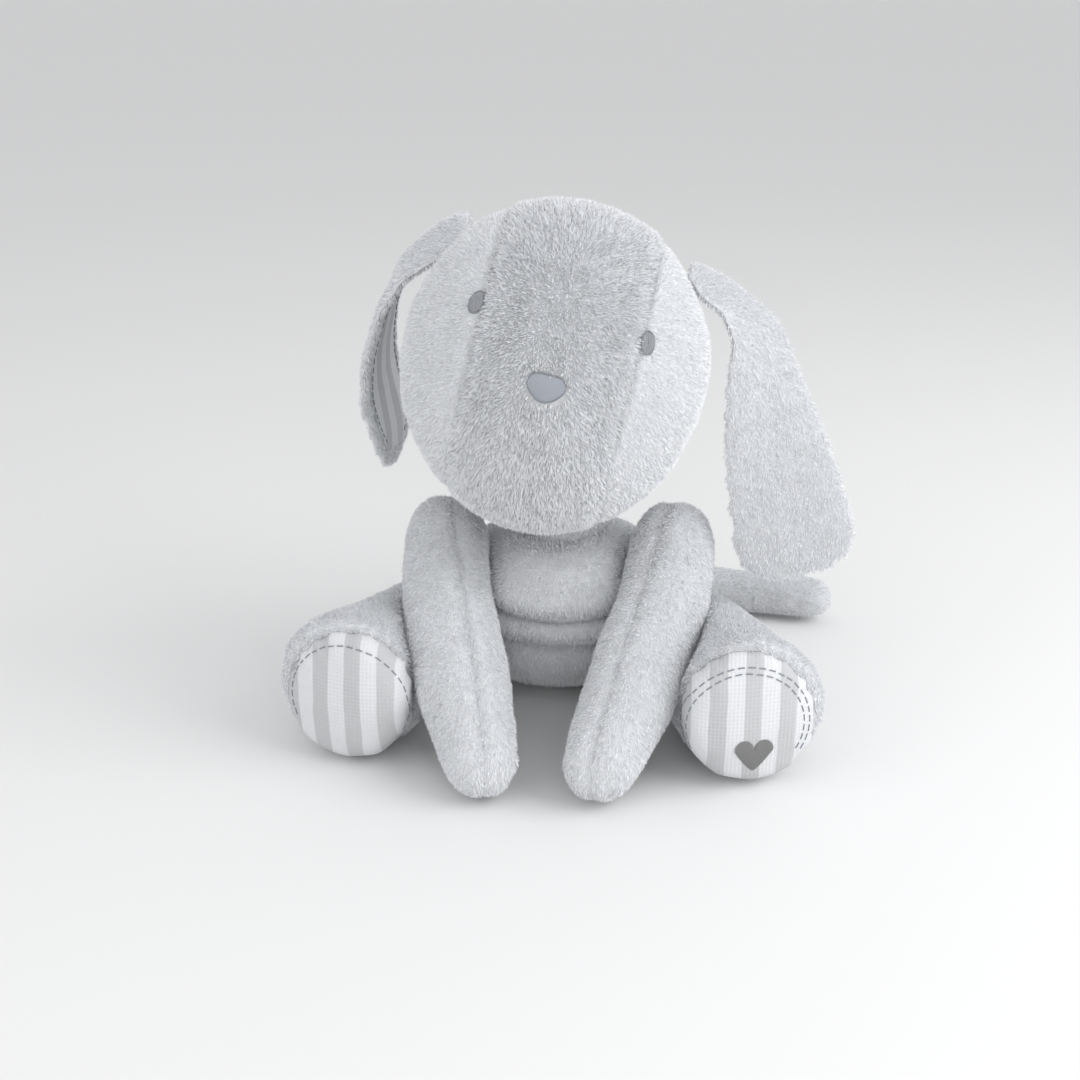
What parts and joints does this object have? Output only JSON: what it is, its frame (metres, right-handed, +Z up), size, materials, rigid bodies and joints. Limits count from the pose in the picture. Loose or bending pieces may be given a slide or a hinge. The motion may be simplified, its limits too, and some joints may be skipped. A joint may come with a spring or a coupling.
{
  "type": "plush dog",
  "caption": "Seated floppy plush dog with a big egg-shaped head, long hanging ears, soft arms and legs and striped cotton soles.",
  "frame": {"origin": "middle of the flat seat, on the surface that the dog sits on", "axes": "+Z up; the dog faces -Y; its left is +X"},
  "size_m": [0.3778, 0.3427, 0.3456],
  "materials": {
    "plush": "short-pile plush, pale cool grey",
    "gusset_plush": "longer-pile plush, pale cool grey",
    "fibre": "loose polyester fibre",
    "striped_cotton": "woven cotton, light and mid grey stripes",
    "thread": "satin-stitched embroidery thread",
    "pellet_cloth": "plain woven pouch",
    "label": "blank satin ribbon"
  },
  "bodies": {
    "torso": {"belly_panel": "plush", "back_left_panel": "plush", "back_right_panel": "plush", "seat_panel": "plush", "torso_stuffing": "fibre", "bean_bag": "pellet_cloth", "care_label": "label"},
    "neck": {"neck_stuffing": "fibre"},
    "head": {"head_gusset": "gusset_plush", "head_left_side": "plush", "head_right_side": "plush", "head_back": "plush", "head_stuffing": "fibre", "left_eye": "thread", "right_eye": "thread", "nose": "thread"},
    "left_ear": {"left_ear_outer": "plush", "left_ear_lining": "striped_cotton"},
    "right_ear": {"right_ear_outer": "plush", "right_ear_lining": "striped_cotton"},
    "left_arm": {"left_arm_outer_panel": "plush", "left_arm_inner_panel": "plush", "left_arm_stuffing": "fibre"},
    "right_arm": {"right_arm_outer_panel": "plush", "right_arm_inner_panel": "plush", "right_arm_stuffing": "fibre"},
    "left_leg": {"left_leg_outer_panel": "plush", "left_leg_inner_panel": "plush", "left_sole": "striped_cotton", "left_leg_stuffing": "fibre", "left_sole_motif": "thread"},
    "right_leg": {"right_leg_outer_panel": "plush", "right_leg_inner_panel": "plush", "right_sole": "striped_cotton", "right_leg_stuffing": "fibre"},
    "tail": {"tail_skin": "plush", "tail_stuffing": "fibre"}
  },
  "joints": [
    {"name": "neck_turn", "type": "hinge", "parent": "torso", "child": "neck", "pos_m": [0, -0.015, 0.125], "axis": [0, 0, 1], "range_deg": [-8, 25]},
    {"name": "head_nod", "type": "hinge", "parent": "neck", "child": "head", "pos_m": [0, -0.015, 0.125], "axis": [-1, 0, 0], "range_deg": [0, 18]},
    {"name": "left_ear_lift", "type": "hinge", "parent": "head", "child": "left_ear", "pos_m": [0.0814, -0.0173, 0.2912], "axis": [0, -1, 0], "range_deg": [0, 45]},
    {"name": "right_ear_lift", "type": "hinge", "parent": "head", "child": "right_ear", "pos_m": [-0.0601, -0.0182, 0.32], "axis": [0, 1, 0], "range_deg": [0, 60]},
    {"name": "left_arm_raise", "type": "hinge", "parent": "torso", "child": "left_arm", "pos_m": [0.077, -0.04, 0.115], "axis": [-1, 0, 0], "range_deg": [0, 30]},
    {"name": "right_arm_raise", "type": "hinge", "parent": "torso", "child": "right_arm", "pos_m": [-0.077, -0.04, 0.115], "axis": [-1, 0, 0], "range_deg": [0, 30]},
    {"name": "left_leg_swing", "type": "hinge", "parent": "torso", "child": "left_leg", "pos_m": [0.079, -0.012, 0.039], "axis": [0, 0, 1], "range_deg": [0, 25]},
    {"name": "right_leg_swing", "type": "hinge", "parent": "torso", "child": "right_leg", "pos_m": [-0.079, -0.012, 0.039], "axis": [0, 0, -1], "range_deg": [0, 25]},
    {"name": "tail_wag", "type": "hinge", "parent": "torso", "child": "tail", "pos_m": [0.024, 0.074, 0.03], "axis": [0, 0, 1], "range_deg": [-5, 45]}
  ]
}
